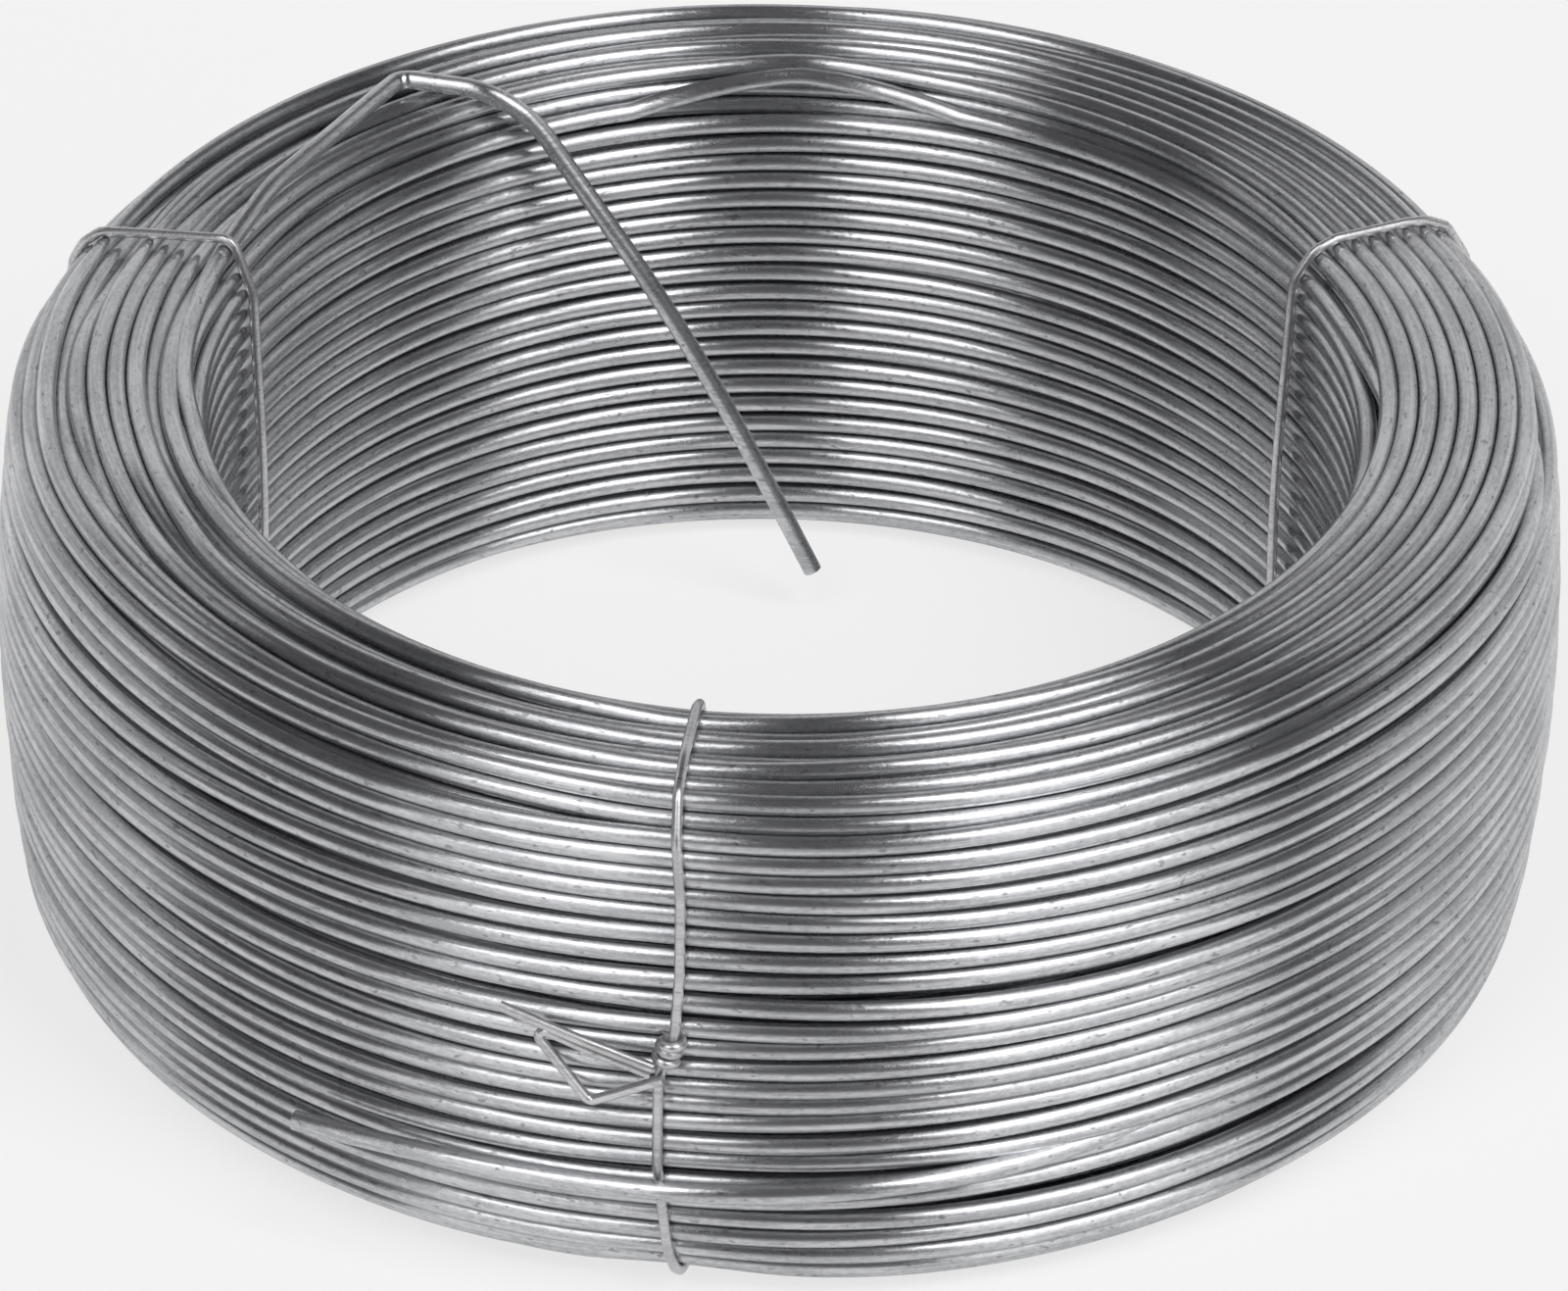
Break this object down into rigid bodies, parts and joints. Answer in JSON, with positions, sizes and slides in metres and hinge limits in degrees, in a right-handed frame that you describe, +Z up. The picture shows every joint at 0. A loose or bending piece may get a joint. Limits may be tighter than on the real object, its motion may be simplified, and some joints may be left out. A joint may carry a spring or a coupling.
{
  "type": "wire coil",
  "caption": "Coil of bright galvanised steel wire held by thin binding wires, one free end hanging in the open bore and the other lying round the outside",
  "frame": {"origin": "on the coil's axis, at the flats of its lower turns", "axes": "+Z up along the coil's axis, -Y towards the front tie and its folded twist"},
  "size_m": [0.2, 0.2029, 0.0766],
  "materials": {
    "coil_wire": "bright galvanised, with fine drawing streaks and mottling",
    "tie_wire": "bright galvanised"
  },
  "bodies": {
    "root": {"wire_coil": "coil_wire", "tie_front": "tie_wire", "tie_left": "tie_wire", "tie_right": "tie_wire"}
  },
  "joints": []
}
